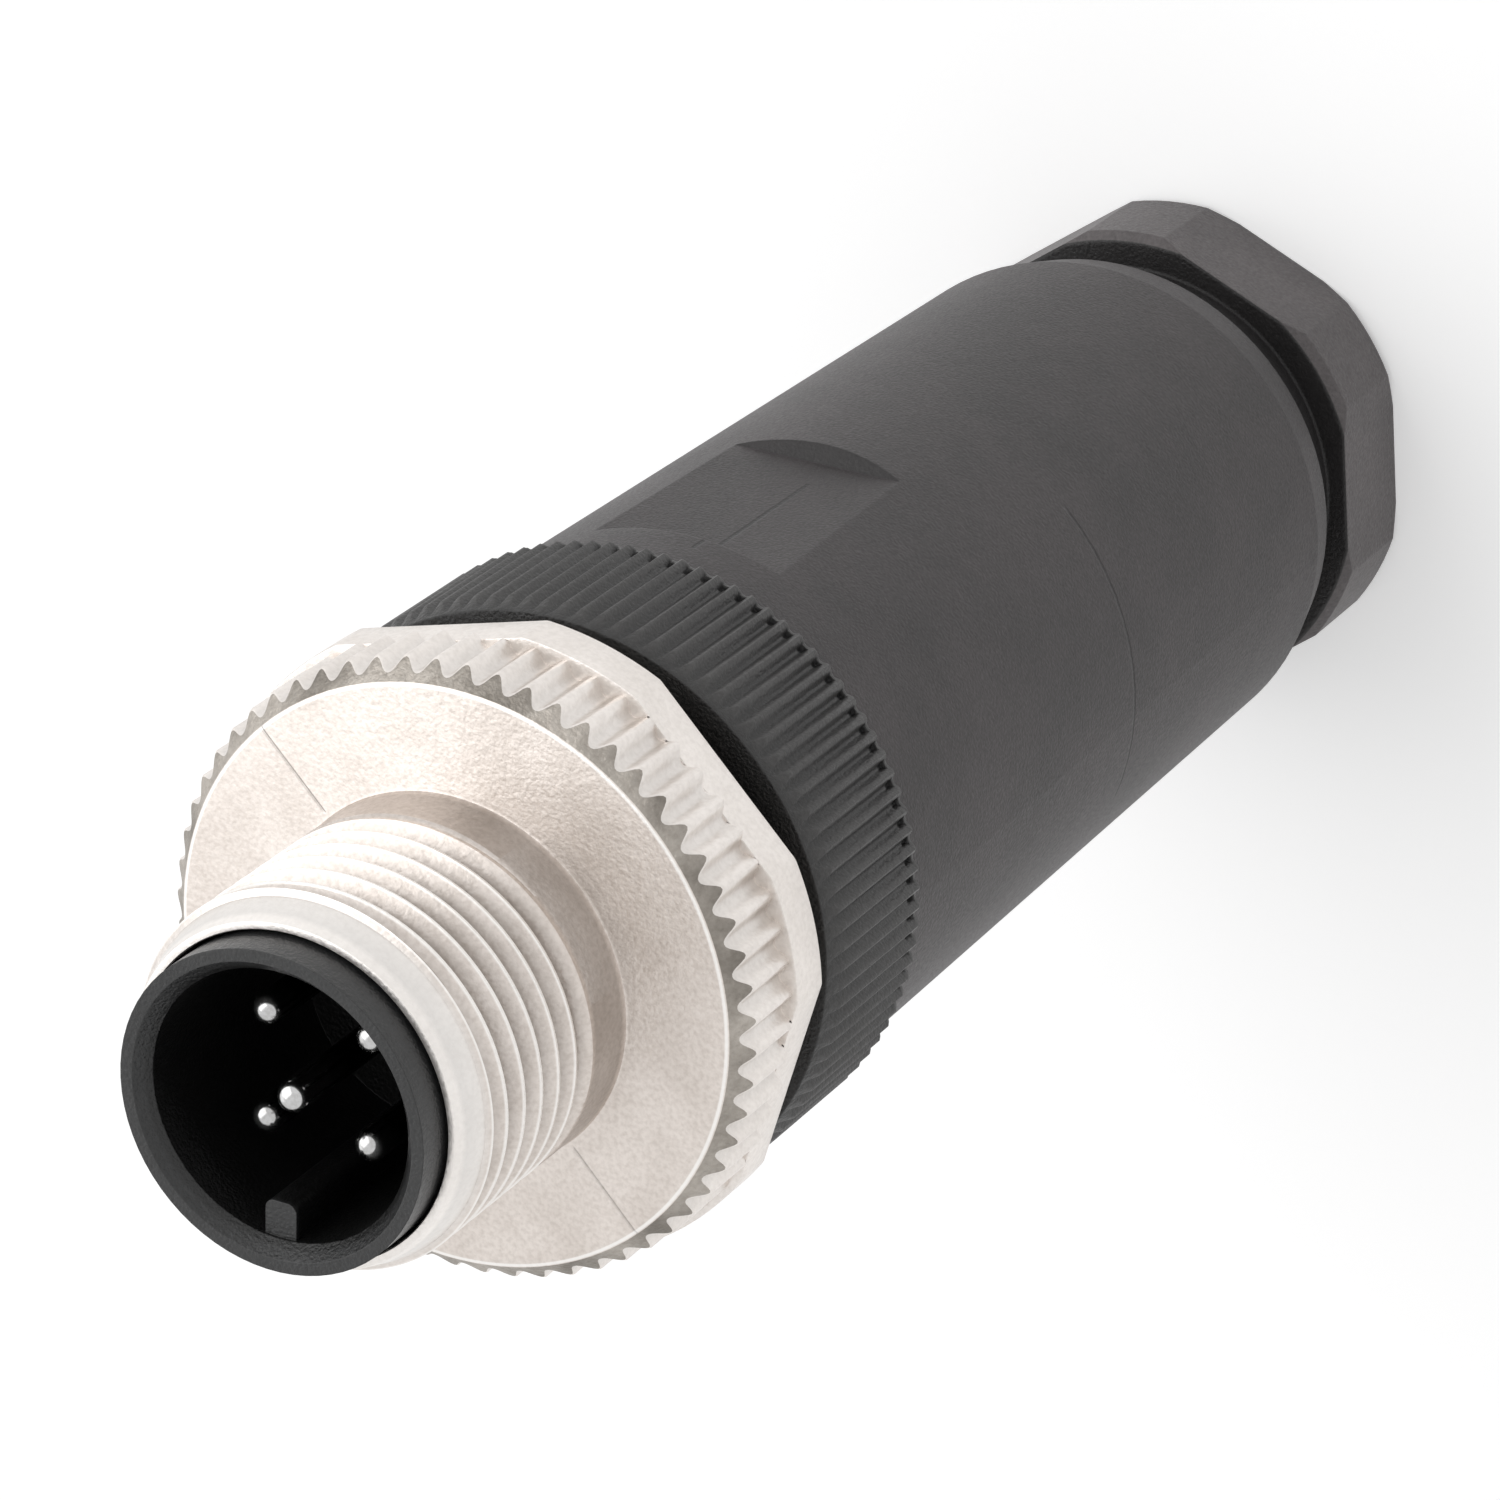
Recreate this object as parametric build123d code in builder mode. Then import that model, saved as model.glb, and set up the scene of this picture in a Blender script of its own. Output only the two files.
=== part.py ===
from build123d import *

import os
from math import degrees, sqrt

# M12 cable plug with five pins, standing on the hexagon head of its gland nut.
# Millimetres, +Z along the plug axis towards the pins, origin in the middle of
# the nut's rear face. +Y passes through the middle of one wrench flat of the
# sleeve, and the coding key is at -Y. Threads are drawn plain, at their major
# diameter outside and with a running play inside.

# Plays and gaps
thread_play = 0.05
turning_play = 0.08
axial_play = 0.3
collar_play = 0.1
seated_play = 0.03
cage_play = 0.1
seal_play = 0.1
joint_gap = 0.1

# Gland nut
nut_flats = 16.6
nut_corner_radius = 8.85
nut_corner_angle = 36.3
nut_head_height = 4.4
nut_standoff = 2.4
nut_thread_radius = 7.6
nut_shank_length = 10.5
nut_bore_radius = 4.2
nut_mouth_chamfer = 0.8
nut_rear_chamfer = 0.35
nut_front_chamfer = 0.3
nut_cup_radius = 6.4
nut_cup_depth = 2.4
nut_cone_length = 7.2

# Clamping cage with its fingers
cage_ring_radius = 6.7
cage_ring_height = 1.9
cage_bore_radius = 4.4
finger_count = 6
finger_length = 5.8
finger_straight = 2.2
finger_root_radius = 6.0
finger_tip_radius = 5.0
finger_slot_width = 1.2

# Cable seal
seal_radius = 6.7
seal_bore_radius = 4.0
seal_height = 4.5

# Sleeve
sleeve_length = 34.1
sleeve_front_radius = 9.42
sleeve_shoulder_radius = 9.05
sleeve_shoulder_height = 1.8
sleeve_rear_radius = 8.6
rear_thread_depth = 10.8
web_hole_radius = 5.0
web_thickness = 1.3
cavity_radius = 7.6
front_thread_depth = 7.1
counterbore_depth = 1.2
counterbore_play = 0.13
flat_distance = 8.8
flat_front_offset = 2.5
flat_length = 8.8
flat_end_slope = 0.8

# Contact carrier with its grip ring
ring_length = 5.8
ring_setback = 0.15
ring_lip_width = 0.3
ring_lip_height = 0.6
ridge_count = 98
ridge_start_angle = 1.33
ridge_height = 0.42
spigot_radius = 7.5
spigot_height = 1.2
spigot_chamfer = 0.3
seat_height = 1.8
carrier_thread_radius = 8.2
carrier_thread_length = 4.6
block_play = 0.6
block_overhang = 0.5

# O-ring
o_ring_cord_radius = 0.5
o_ring_root_radius = 7.6
o_ring_groove_play = 0.1
o_ring_sides = 6

# Contacts and terminal screws
pin_circle_radius = 2.475
barrel_circle_radius = 3.3
pin_radius = 0.5
pin_tip_depth = 2.3
centre_tip_depth = 0.85
pin_count = 4
pin_first_angle = 45.0
pin_tip_length = 0.35
pin_tip_width = 0.22
barrel_width = 1.9
barrel_length = 13.0
wire_bore_radius = 0.65
wire_bore_depth = 5.0
terminal_offset = 2.4
terminal_radius = 0.7
terminal_recess = 0.4
terminal_slot_width = 0.4
terminal_slot_depth = 0.5
terminal_stop = 0.05

# Contact insert
collar_radius = 5.1
collar_inner_radius = 4.3
collar_length = 9.5
collar_mouth_width = 0.4
collar_mouth_depth = 0.5
cavity_depth = 9.0
insert_shank_radius = 4.65
key_width = 1.05
key_height = 1.15
key_top_depth = 0.6
key_round = 0.3
key_root = 0.1

# Coupling screw
screw_length = 13.35
thread_radius = 6.0
thread_lead_height = 1.25
thread_rim_radius = 5.45
screw_land_length = 4.7
flange_height = 4.35
knurl_radius = 10.1
knurl_bevel = 0.7
hex_height = 1.57
hex_flat_depth = 0.35
hex_corner_height = 0.2
hex_corner_angle = 15.1
flute_count = 60
flute_start_angle = 2.6
flute_depth = 0.3
flute_floor_width = 0.36

# Heights that follow from the stack
sleeve_bottom = nut_head_height + nut_standoff
sleeve_top = sleeve_bottom + sleeve_length
shank_top = nut_head_height + nut_shank_length
cage_bottom = shank_top + cage_play
cage_top = cage_bottom + cage_ring_height
seal_bottom = cage_top + cage_play
web_bottom = seal_bottom + seal_height
web_top = web_bottom + web_thickness
ring_bottom = sleeve_top + joint_gap
ring_top = ring_bottom + ring_length
spigot_top = ring_top + spigot_height
seat_level = ring_bottom + seat_height
groove_height = 2 * o_ring_cord_radius + o_ring_groove_play
groove_bottom = ring_bottom - groove_height
boss_bottom = groove_bottom - carrier_thread_length
barrel_bottom = seat_level - barrel_length
block_bottom = barrel_bottom - block_overhang
terminal_level = barrel_bottom + terminal_offset
screw_bottom = spigot_top + axial_play
screw_shoulder = screw_bottom + screw_land_length
screw_top = screw_bottom + screw_length
collar_bottom = screw_shoulder + axial_play
insert_top = collar_bottom + collar_length
cavity_floor = insert_top - cavity_depth

# Radii that follow from the knurl and from the fits
flange_radius = knurl_radius - knurl_bevel
hex_apothem = knurl_radius - hex_flat_depth
hex_corner_radius = knurl_radius + hex_corner_height
ring_radius = knurl_radius - ring_setback
seal_pocket_radius = seal_radius + seal_play
rear_bore_radius = nut_thread_radius + thread_play
front_bore_radius = carrier_thread_radius + thread_play
block_radius = cavity_radius - block_play
o_ring_centre_radius = o_ring_root_radius + o_ring_cord_radius + seated_play
counterbore_radius = o_ring_centre_radius + o_ring_cord_radius + counterbore_play
insert_bore_radius = insert_shank_radius + seated_play
chamber_width = barrel_width + 2 * seated_play
screw_hole_radius = terminal_radius + seated_play

axis_plane = Plane.XZ


def polar_point(radius, angle):
    """Point on a circle round the axis."""
    return Vector(radius, 0).rotate(Axis.Z, angle)


def terminal_plane(place, distance):
    """Plane on the terminal level that faces out of the block, a distance from a contact."""
    side = 1 if place.X > -pin_radius else -1
    origin = (place.X + side * distance, place.Y, terminal_level)
    return Plane(origin=origin, x_dir=(0, 0, 1), z_dir=(side, 0, 0))


def contact_circle(radius):
    """Places of the contacts, the outer ones on a circle and the last one in the middle."""
    angles = [pin_first_angle + 360 / pin_count * i for i in range(pin_count)]
    return [polar_point(radius, angle) for angle in angles] + [Vector(0, 0)]


# The outer pins stand off centre on their barrels, which need more room than the pins
pin_places = contact_circle(pin_circle_radius)
barrel_places = contact_circle(barrel_circle_radius)


# Gland nut: hexagon head with turned corners, threaded shank, inner cone
with BuildPart() as gland_nut:
    with BuildSketch():
        Circle(nut_corner_radius)
        RegularPolygon(
            nut_flats / 2,
            6,
            major_radius=False,
            rotation=nut_corner_angle,
            mode=Mode.INTERSECT,
        )
    extrude(amount=nut_head_height)
    with BuildSketch(axis_plane):
        with BuildLine():
            Polyline(
                (0, 0),
                (nut_corner_radius - nut_rear_chamfer, 0),
                (nut_corner_radius, nut_rear_chamfer),
                (nut_corner_radius, nut_head_height - nut_front_chamfer),
                (nut_corner_radius - nut_front_chamfer, nut_head_height),
                (0, nut_head_height),
                close=True,
            )
        make_face()
    revolve(axis=Axis.Z, mode=Mode.INTERSECT)
    with BuildSketch(Plane.XY.offset(nut_head_height)):
        Circle(nut_thread_radius)
    extrude(amount=nut_shank_length)
    cone_top = shank_top - nut_cup_depth
    with BuildSketch(axis_plane):
        with BuildLine():
            Polyline(
                (0, 0),
                (nut_bore_radius + nut_mouth_chamfer, 0),
                (nut_bore_radius, nut_mouth_chamfer),
                (nut_bore_radius, cone_top - nut_cone_length),
                (nut_cup_radius, cone_top),
                (nut_cup_radius, shank_top),
                (0, shank_top),
                close=True,
            )
        make_face()
    revolve(axis=Axis.Z, mode=Mode.SUBTRACT)
gland_nut.part.label = "gland_nut"

# Clamping cage: a ring with sprung fingers that the nut's cone closes on the cable
finger_tip_level = cage_bottom - finger_length
with BuildPart() as clamp_cage:
    with BuildSketch(axis_plane):
        with BuildLine():
            Polyline(
                (cage_bore_radius, cage_top),
                (cage_ring_radius, cage_top),
                (cage_ring_radius, cage_bottom),
                (finger_root_radius, cage_bottom),
                (finger_root_radius, cage_bottom - finger_straight),
                (finger_tip_radius, finger_tip_level),
                (cage_bore_radius, finger_tip_level),
                close=True,
            )
        make_face()
    revolve(axis=Axis.Z)
    with BuildSketch(Plane.XY.offset(finger_tip_level)):
        with PolarLocations(0, finger_count):
            Rectangle(cage_ring_radius, finger_slot_width, align=(Align.MIN, Align.CENTER))
    extrude(amount=finger_length, mode=Mode.SUBTRACT)
clamp_cage.part.label = "clamp_cage"

# Cable seal: a rubber bush pressed on the cable between the cage and the sleeve's web
with BuildPart() as cable_seal:
    with BuildSketch(Plane.XY.offset(seal_bottom)):
        Circle(seal_radius)
        Circle(seal_bore_radius, mode=Mode.SUBTRACT)
    extrude(amount=seal_height)
cable_seal.part.label = "cable_seal"

# Sleeve: drafted body, threaded at both ends, with a web that carries the seal
shoulder_level = sleeve_bottom + sleeve_shoulder_height
flat_front = sleeve_top - flat_front_offset
flat_foot = flat_front - flat_length
with BuildPart() as sleeve:
    with BuildSketch(axis_plane):
        with BuildLine():
            Polyline(
                (rear_bore_radius, sleeve_bottom),
                (sleeve_rear_radius, sleeve_bottom),
                (sleeve_shoulder_radius, shoulder_level),
                (sleeve_front_radius, sleeve_top),
                (counterbore_radius, sleeve_top),
                (counterbore_radius, sleeve_top - counterbore_depth),
                (front_bore_radius, sleeve_top - counterbore_depth),
                (front_bore_radius, sleeve_top - front_thread_depth),
                (cavity_radius, sleeve_top - front_thread_depth),
                (cavity_radius, web_top),
                (web_hole_radius, web_top),
                (web_hole_radius, web_bottom),
                (seal_pocket_radius, web_bottom),
                (seal_pocket_radius, sleeve_bottom + rear_thread_depth),
                (rear_bore_radius, sleeve_bottom + rear_thread_depth),
                close=True,
            )
        make_face()
    revolve(axis=Axis.Z)
    with BuildSketch(Plane.YZ):
        with BuildLine():
            Polyline(
                (flat_distance, flat_front),
                (flat_distance, flat_foot),
                (flat_distance + flat_end_slope, flat_foot - flat_end_slope),
                (flat_distance + flat_end_slope, flat_front),
                close=True,
            )
        make_face()
        mirror(about=Plane.YZ)
    extrude(amount=sleeve_front_radius, both=True, mode=Mode.SUBTRACT)
sleeve.part.label = "sleeve"

# Contact carrier: grip ring, spigot for the coupling screw, thread and terminal block
ridge_outline = [
    polar_point(ring_radius - ridge_height * (i % 2), ridge_start_angle + i * 180 / ridge_count)
    for i in range(2 * ridge_count)
]
lip_radius = ring_radius - ring_lip_width
lip_reach = ring_lip_width / ring_lip_height * ring_length
with BuildPart() as contact_carrier:
    for level, radius in ((ring_bottom, lip_radius + lip_reach), (ring_top, lip_radius)):
        with BuildSketch(Plane.XY.offset(level)):
            RegularPolygon(radius, ridge_count, rotation=ridge_start_angle)
    loft(ruled=True)
    with BuildSketch(Plane.XY.offset(ring_bottom)):
        with BuildLine():
            Polyline(ridge_outline, close=True)
        make_face()
    extrude(amount=ring_length, mode=Mode.INTERSECT)
    with BuildSketch(axis_plane):
        with BuildLine():
            Polyline(
                (0, spigot_top),
                (spigot_radius - spigot_chamfer, spigot_top),
                (spigot_radius, spigot_top - spigot_chamfer),
                (spigot_radius, ring_bottom),
                (o_ring_root_radius, ring_bottom),
                (o_ring_root_radius, groove_bottom),
                (carrier_thread_radius, groove_bottom),
                (carrier_thread_radius, boss_bottom),
                (block_radius, boss_bottom),
                (block_radius, block_bottom),
                (0, block_bottom),
                close=True,
            )
        make_face()
    revolve(axis=Axis.Z)
    with BuildSketch(Plane.XY.offset(seat_level)):
        Circle(insert_bore_radius)
    extrude(amount=spigot_top - seat_level, mode=Mode.SUBTRACT)
    with BuildSketch(Plane.XY.offset(seat_level)):
        with Locations(barrel_places):
            Rectangle(chamber_width, chamber_width)
    extrude(amount=block_bottom - seat_level, mode=Mode.SUBTRACT)
    for place in barrel_places:
        with BuildSketch(terminal_plane(place, 0)):
            Circle(screw_hole_radius)
        extrude(amount=block_radius, mode=Mode.SUBTRACT)
contact_carrier.part.label = "contact_carrier"

# O-ring in the groove between the grip ring and the carrier's thread
with BuildPart() as o_ring:
    with BuildSketch(axis_plane):
        with Locations((o_ring_centre_radius, ring_bottom - groove_height / 2)):
            RegularPolygon(o_ring_cord_radius, o_ring_sides)
    revolve(axis=Axis.Z)
o_ring.part.label = "o_ring"

# Contact insert: open collar round the pins, coding key, shank seated in the carrier
with BuildPart() as contact_insert:
    with BuildSketch(axis_plane):
        with BuildLine():
            Polyline(
                (0, seat_level),
                (insert_shank_radius, seat_level),
                (insert_shank_radius, collar_bottom),
                (collar_radius, collar_bottom),
                (collar_radius, insert_top),
                (collar_inner_radius + collar_mouth_width, insert_top),
                (collar_inner_radius, insert_top - collar_mouth_depth),
                (collar_inner_radius, cavity_floor),
                (0, cavity_floor),
                close=True,
            )
        make_face()
    revolve(axis=Axis.Z)
    with BuildSketch(Plane.XY.offset(cavity_floor)) as key_section:
        with Locations((0, key_height - collar_inner_radius)):
            Rectangle(key_width, key_height + key_root, align=(Align.CENTER, Align.MAX))
        fillet(key_section.vertices().group_by(Axis.Y)[-1], key_round)
    extrude(amount=cavity_depth - key_top_depth)
    with BuildSketch(Plane.XY.offset(seat_level)):
        with Locations(pin_places):
            Circle(pin_radius + seated_play)
    extrude(amount=cavity_floor - seat_level, mode=Mode.SUBTRACT)
contact_insert.part.label = "contact_insert"


# Contacts: round pin, square barrel with a wire bore from behind and a tapped hole in its side
def contact(pin_place, place, tip_depth):
    """Contact with its pin and its barrel in place, the tip a depth below the insert's front."""
    foot = Plane(place + Vector(0, 0, barrel_bottom))
    with BuildPart() as made:
        with BuildSketch(Plane(pin_place + Vector(0, 0, seat_level))):
            Circle(pin_radius)
        extrude(amount=insert_top - tip_depth - seat_level)
        chamfer(made.edges().sort_by(Axis.Z)[-1], pin_tip_width, pin_tip_length)
        with BuildSketch(foot):
            Rectangle(barrel_width, barrel_width)
        extrude(amount=barrel_length)
        with BuildSketch(foot):
            Circle(wire_bore_radius)
        extrude(amount=wire_bore_depth, mode=Mode.SUBTRACT)
        with BuildSketch(terminal_plane(place, 0)):
            Circle(screw_hole_radius)
        extrude(amount=barrel_width, mode=Mode.SUBTRACT)
    return made.part


tip_depths = [pin_tip_depth] * pin_count + [centre_tip_depth]
contacts = [contact(*where) for where in zip(pin_places, barrel_places, tip_depths)]


# Terminal screws: slotted, each reaching to the edge of its wire bore
def terminal_screw(place):
    """Slotted screw pointing at the axis of the contact at a place."""
    start = wire_bore_radius + terminal_stop
    surface = sqrt(block_radius**2 - place.Y**2)
    length = surface - terminal_recess - abs(place.X) - start
    with BuildPart() as made:
        with BuildSketch(terminal_plane(place, start)):
            Circle(terminal_radius)
        extrude(amount=length)
        with BuildSketch(terminal_plane(place, start + length)):
            Rectangle(2 * terminal_radius, terminal_slot_width)
        extrude(amount=-terminal_slot_depth, mode=Mode.SUBTRACT)
    return made.part


with BuildPart() as terminal_screws:
    for place in barrel_places:
        add(terminal_screw(place))
terminal_screws.part.label = "terminal_screws"

# Coupling screw: threaded tube, flange with a fluted rim, turned hexagon behind it
flange_top = screw_bottom + flange_height
hex_top = screw_bottom + hex_height
bevel_reach = flange_height - hex_height - knurl_bevel
thread_top = screw_top - thread_lead_height
flute_step = 360 / flute_count
floor_radius = knurl_radius - flute_depth
floor_angle = degrees(flute_floor_width / 2 / floor_radius)
flute_outline = [
    point
    for middle in (flute_start_angle + i * flute_step for i in range(flute_count))
    for point in (
        polar_point(floor_radius, middle - floor_angle),
        polar_point(floor_radius, middle + floor_angle),
        polar_point(knurl_radius, middle + flute_step / 2),
    )
]
with BuildPart() as coupling_screw:
    for level, radius in ((hex_top, knurl_radius + bevel_reach), (flange_top, flange_radius)):
        with BuildSketch(Plane.XY.offset(level)):
            RegularPolygon(radius, flute_count, rotation=flute_start_angle + flute_step / 2)
    loft(ruled=True)
    with BuildSketch(Plane.XY.offset(hex_top)):
        with BuildLine():
            Polyline(flute_outline, close=True)
        make_face()
    extrude(amount=flange_top - hex_top, mode=Mode.INTERSECT)
    with BuildSketch(axis_plane):
        with BuildLine():
            Polyline(
                (0, hex_top),
                (thread_radius, hex_top),
                (thread_radius, thread_top),
                (thread_rim_radius, screw_top),
                (0, screw_top),
                close=True,
            )
        make_face()
    revolve(axis=Axis.Z)
    with BuildSketch(Plane.XY.offset(screw_bottom)):
        Circle(hex_corner_radius)
        RegularPolygon(
            hex_apothem,
            6,
            major_radius=False,
            rotation=hex_corner_angle,
            mode=Mode.INTERSECT,
        )
    extrude(amount=hex_height)
    with BuildSketch(Plane.XY.offset(screw_shoulder)):
        Circle(collar_radius + collar_play)
    extrude(amount=screw_length, mode=Mode.SUBTRACT)
    with BuildSketch(Plane.XY.offset(screw_bottom)):
        Circle(insert_shank_radius + turning_play)
    extrude(amount=screw_land_length, mode=Mode.SUBTRACT)
coupling_screw.part.label = "coupling_screw"

os.makedirs("parts", exist_ok=True)
for built in (
    gland_nut,
    clamp_cage,
    cable_seal,
    sleeve,
    contact_carrier,
    o_ring,
    contact_insert,
    terminal_screws,
    coupling_screw,
):
    export_step(built.part, f"parts/{built.part.label}.step")
for number, pin in enumerate(contacts, start=1):
    pin.label = f"contact_pin_{number}"
    export_step(pin, f"parts/{pin.label}.step")
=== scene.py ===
import bmesh
import bpy
import math
import numpy as np
from mathutils import Matrix, Vector

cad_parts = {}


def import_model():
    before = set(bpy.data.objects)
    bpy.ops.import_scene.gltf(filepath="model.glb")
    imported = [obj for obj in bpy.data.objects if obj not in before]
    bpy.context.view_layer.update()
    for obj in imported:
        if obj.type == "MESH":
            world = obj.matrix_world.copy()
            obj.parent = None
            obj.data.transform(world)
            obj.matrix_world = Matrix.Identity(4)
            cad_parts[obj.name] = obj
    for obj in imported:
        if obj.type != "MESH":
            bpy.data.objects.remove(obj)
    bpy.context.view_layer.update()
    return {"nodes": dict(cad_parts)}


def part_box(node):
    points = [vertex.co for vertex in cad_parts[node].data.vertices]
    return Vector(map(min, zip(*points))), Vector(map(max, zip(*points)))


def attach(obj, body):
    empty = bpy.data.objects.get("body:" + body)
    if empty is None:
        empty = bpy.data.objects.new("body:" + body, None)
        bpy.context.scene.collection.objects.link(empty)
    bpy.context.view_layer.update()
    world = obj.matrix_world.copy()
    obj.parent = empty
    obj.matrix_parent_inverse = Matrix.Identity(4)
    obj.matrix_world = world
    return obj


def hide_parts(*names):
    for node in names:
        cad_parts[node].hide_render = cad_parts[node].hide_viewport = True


# Looks of an M12 cable plug with five pins. It stands on its gland nut, +Z towards
# the pins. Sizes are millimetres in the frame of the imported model, where no unit is named.
MM = 0.001

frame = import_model()


def bottom(node):
    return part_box(node)[0].z / MM


def top(node):
    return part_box(node)[1].z / MM


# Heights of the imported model
SLEEVE_BOTTOM = bottom("sleeve")
SLEEVE_TOP = top("sleeve")
SCREW_BOTTOM = bottom("coupling_screw")
SCREW_TOP = top("coupling_screw")
CARRIER_BOTTOM = bottom("contact_carrier")
CARRIER_TOP = top("contact_carrier")
INSERT_TOP = top("contact_insert")
PIN_TOP = top("contact_pin_1")
RING_FOOT = SLEEVE_TOP + 0.1
CONTACT_SEAT = RING_FOOT + 1.8

# Both threads: three crests and two flanks make the pitch
PITCH = 1.0

# Coupling screw
SCREW_COLUMNS = 720
THREAD_RADIUS = 6.0
THREAD_ROOT = 5.42
THREAD_BOTTOM = SCREW_TOP - 7.2
THREAD_TOP = SCREW_TOP - 1.25
THREAD_PHASE = SCREW_TOP + 0.9
THREAD_CREST = 0.07
THREAD_FADE = 0.55
RIM_RADIUS = 5.47
FLANGE_RADIUS = 9.4
FLANGE_TOP = SCREW_BOTTOM + 4.35
KNURL_RADIUS = 10.1
FLUTES = 60
FLUTE_START = 2.6
FLUTE_SHARPNESS = 1.25
FLUTE_DEPTH = 0.38
HEX_TOP = SCREW_BOTTOM + 1.57
HEX_FLATS = 19.5
HEX_CORNER = 10.3
HEX_ANGLE = 15.1
SHOULDER = SCREW_BOTTOM + 4.7
SHANK_BORE = 4.73
COLLAR_BORE = 5.2

# Contact carrier
RIDGES = 98
CARRIER_COLUMNS = RIDGES * 8
RIDGE_START = 1.33
RIDGE_HEIGHT = 0.28
RIDGE_SHARPNESS = 1.2
RING_RADIUS = 9.95
RING_TOP = RING_FOOT + 5.8
LIP_RADIUS = 9.65
LIP_HEIGHT = 0.6
LIP_DROP = 0.05
PIT_BOTTOM = RING_FOOT + 0.22
PIT_TOP = PIT_BOTTOM + 0.26
PIT_DEPTH = 0.1
PIT_RADIUS = 9.79
PIT_SLOPE = 0.1
PIT_RAMP = 0.06
PIT_STEP = 0.04
VALLEY_ROUNDING = 0.06
SPIGOT_RADIUS = 7.5
GROOVE_RADIUS = 7.6
GROOVE_BOTTOM = RING_FOOT - 1.1
BOSS_RADIUS = 8.2
BOSS_ROOT = 7.7
BOSS_BOTTOM = GROOVE_BOTTOM - 4.6
BOSS_THREAD_BOTTOM = BOSS_BOTTOM + 0.05
BOSS_CREST = 0.1
BOSS_FADE = 0.3
BOSS_CHAMFER = 0.4
BLOCK_RADIUS = 7.0
SEAT_RADIUS = 4.68

# Softened edges: what each step takes off the radius and adds to the height
HEX_LOWER_EDGE = ((0.08, 0), (0.02, 0.03), (0, 0.1))
HEX_UPPER_EDGE = ((0, -0.06), (0.02, -0.015), (0.06, 0))
KNURL_EDGE = ((0, -0.05), (0.01, -0.02), (0.03, 0.01), (0.06, 0.06))
FLANGE_EDGE = ((-0.05, -0.05), (-0.01, -0.015), (0.04, 0))
NECK_FILLET = ((-0.12, 0), (-0.04, 0.03), (0, 0.12))
THREAD_EDGE = ((0.2, 0.12),)
RIM_EDGE = ((-0.03, -0.12), (0.02, -0.02), (0.07, 0))
BORE_EDGE = ((-0.04, 0), (0, -0.05))
SEAT_EDGE = ((0, -0.05), (-0.05, 0))
SPIGOT_EDGE = ((0.3, 0), (0, -0.3))
SPIGOT_FILLET = ((0, 0.1), (-0.1, 0))
LIP_EDGE = ((0.06, 0), (0.01, -0.02))
RIDGE_EDGE = ((0.015, 0.01), (0, -0.03))
BLOCK_EDGE = ((0, 0.4), (0.4, 0))
BARREL_UPPER_EDGE = ((0.08, 0), (0, -0.08))
BARREL_LOWER_EDGE = ((0, 0.08), (0.08, 0))
# Foot of the ridges: least rise over the valley, fall from the crest, height
RIDGE_FOOT = ((VALLEY_ROUNDING, 0.07, 0.09), (0.04, 0.15, 0.03), (0, 0.2, 0))

# O-ring
O_RING_COLUMNS = 180
O_RING_ROWS = 24
O_RING_CORD_RADIUS = 0.5

# Contacts
PIN_CIRCLE = 2.475
BARREL_CIRCLE = 3.3
PIN_ANGLES = (45, 135, 225, 315)
PIN_RADIUS = 0.5
PIN_DOME = 0.45
PIN_COLUMNS = 48
DOME_STEPS = 9
BARREL_WIDTH = 1.9
BARREL_LENGTH = 13.0
WIRE_BORE_RADIUS = 0.65
WIRE_BORE_DEPTH = 5.0


# Geometry
def circle(count):
    """Angles in radians, the last one closing the turn."""
    return np.linspace(0, 2 * math.pi, count + 1)


def spot(radius, angle):
    """Place at a radius and an angle in degrees."""
    return radius * math.cos(math.radians(angle)), radius * math.sin(math.radians(angle))


def ring(angles, radius, height):
    """One row of points, radius and height each a number or one value per angle."""
    radius, height = (np.zeros_like(angles) + value for value in (radius, height))
    return np.stack([radius * np.cos(angles), radius * np.sin(angles), height], -1)


def softened(angles, radius, height, steps):
    """Rows along a softened edge."""
    return [ring(angles, radius - inward, height + up) for inward, up in steps]


def shell(rows, place=(0, 0), slots=None):
    """Closed mesh from rows of points, each joined to the next and the last to the first.

    place shifts it sideways. slots gives the material slot of the faces from a row to the
    next, where it isn't 0."""
    points = (np.array(rows + rows[:1]) + (*place, 0)) * MM
    high, wide = points.shape[:2]
    index = np.arange(high * wide).reshape(high, wide)
    quads = np.stack([index[:-1, :-1], index[:-1, 1:], index[1:, 1:], index[1:, :-1]], -1)
    mesh = bpy.data.meshes.new("shell")
    mesh.from_pydata(points.reshape(-1, 3), [], quads.reshape(-1, 4).tolist())
    taken = np.zeros((high - 1, wide - 1), int)
    for row, slot in (slots or {}).items():
        taken[row] = slot
    mesh.polygons.foreach_set("material_index", taken.ravel())
    work = bmesh.new()
    work.from_mesh(mesh)
    bmesh.ops.remove_doubles(work, verts=work.verts, dist=1e-7)
    loose = [side for side in work.edges if not side.link_faces]
    bmesh.ops.delete(work, geom=loose, context="EDGES")
    bmesh.ops.recalc_face_normals(work, faces=work.faces)
    work.to_mesh(mesh)
    work.free()
    return mesh


def piece(name, mesh, paints, body, node, sharp=30):
    """Object for a mesh, which rides on a body and stands for a node of the model.

    Edges sharper than sharp degrees stay hard."""
    for paint in paints:
        mesh.materials.append(paint.mat)
    made = bpy.data.objects.new(name, mesh)
    bpy.context.scene.collection.objects.link(made)
    mesh.shade_smooth()
    mesh.set_sharp_from_angle(angle=math.radians(sharp))
    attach(made, body)
    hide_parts(node)


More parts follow.
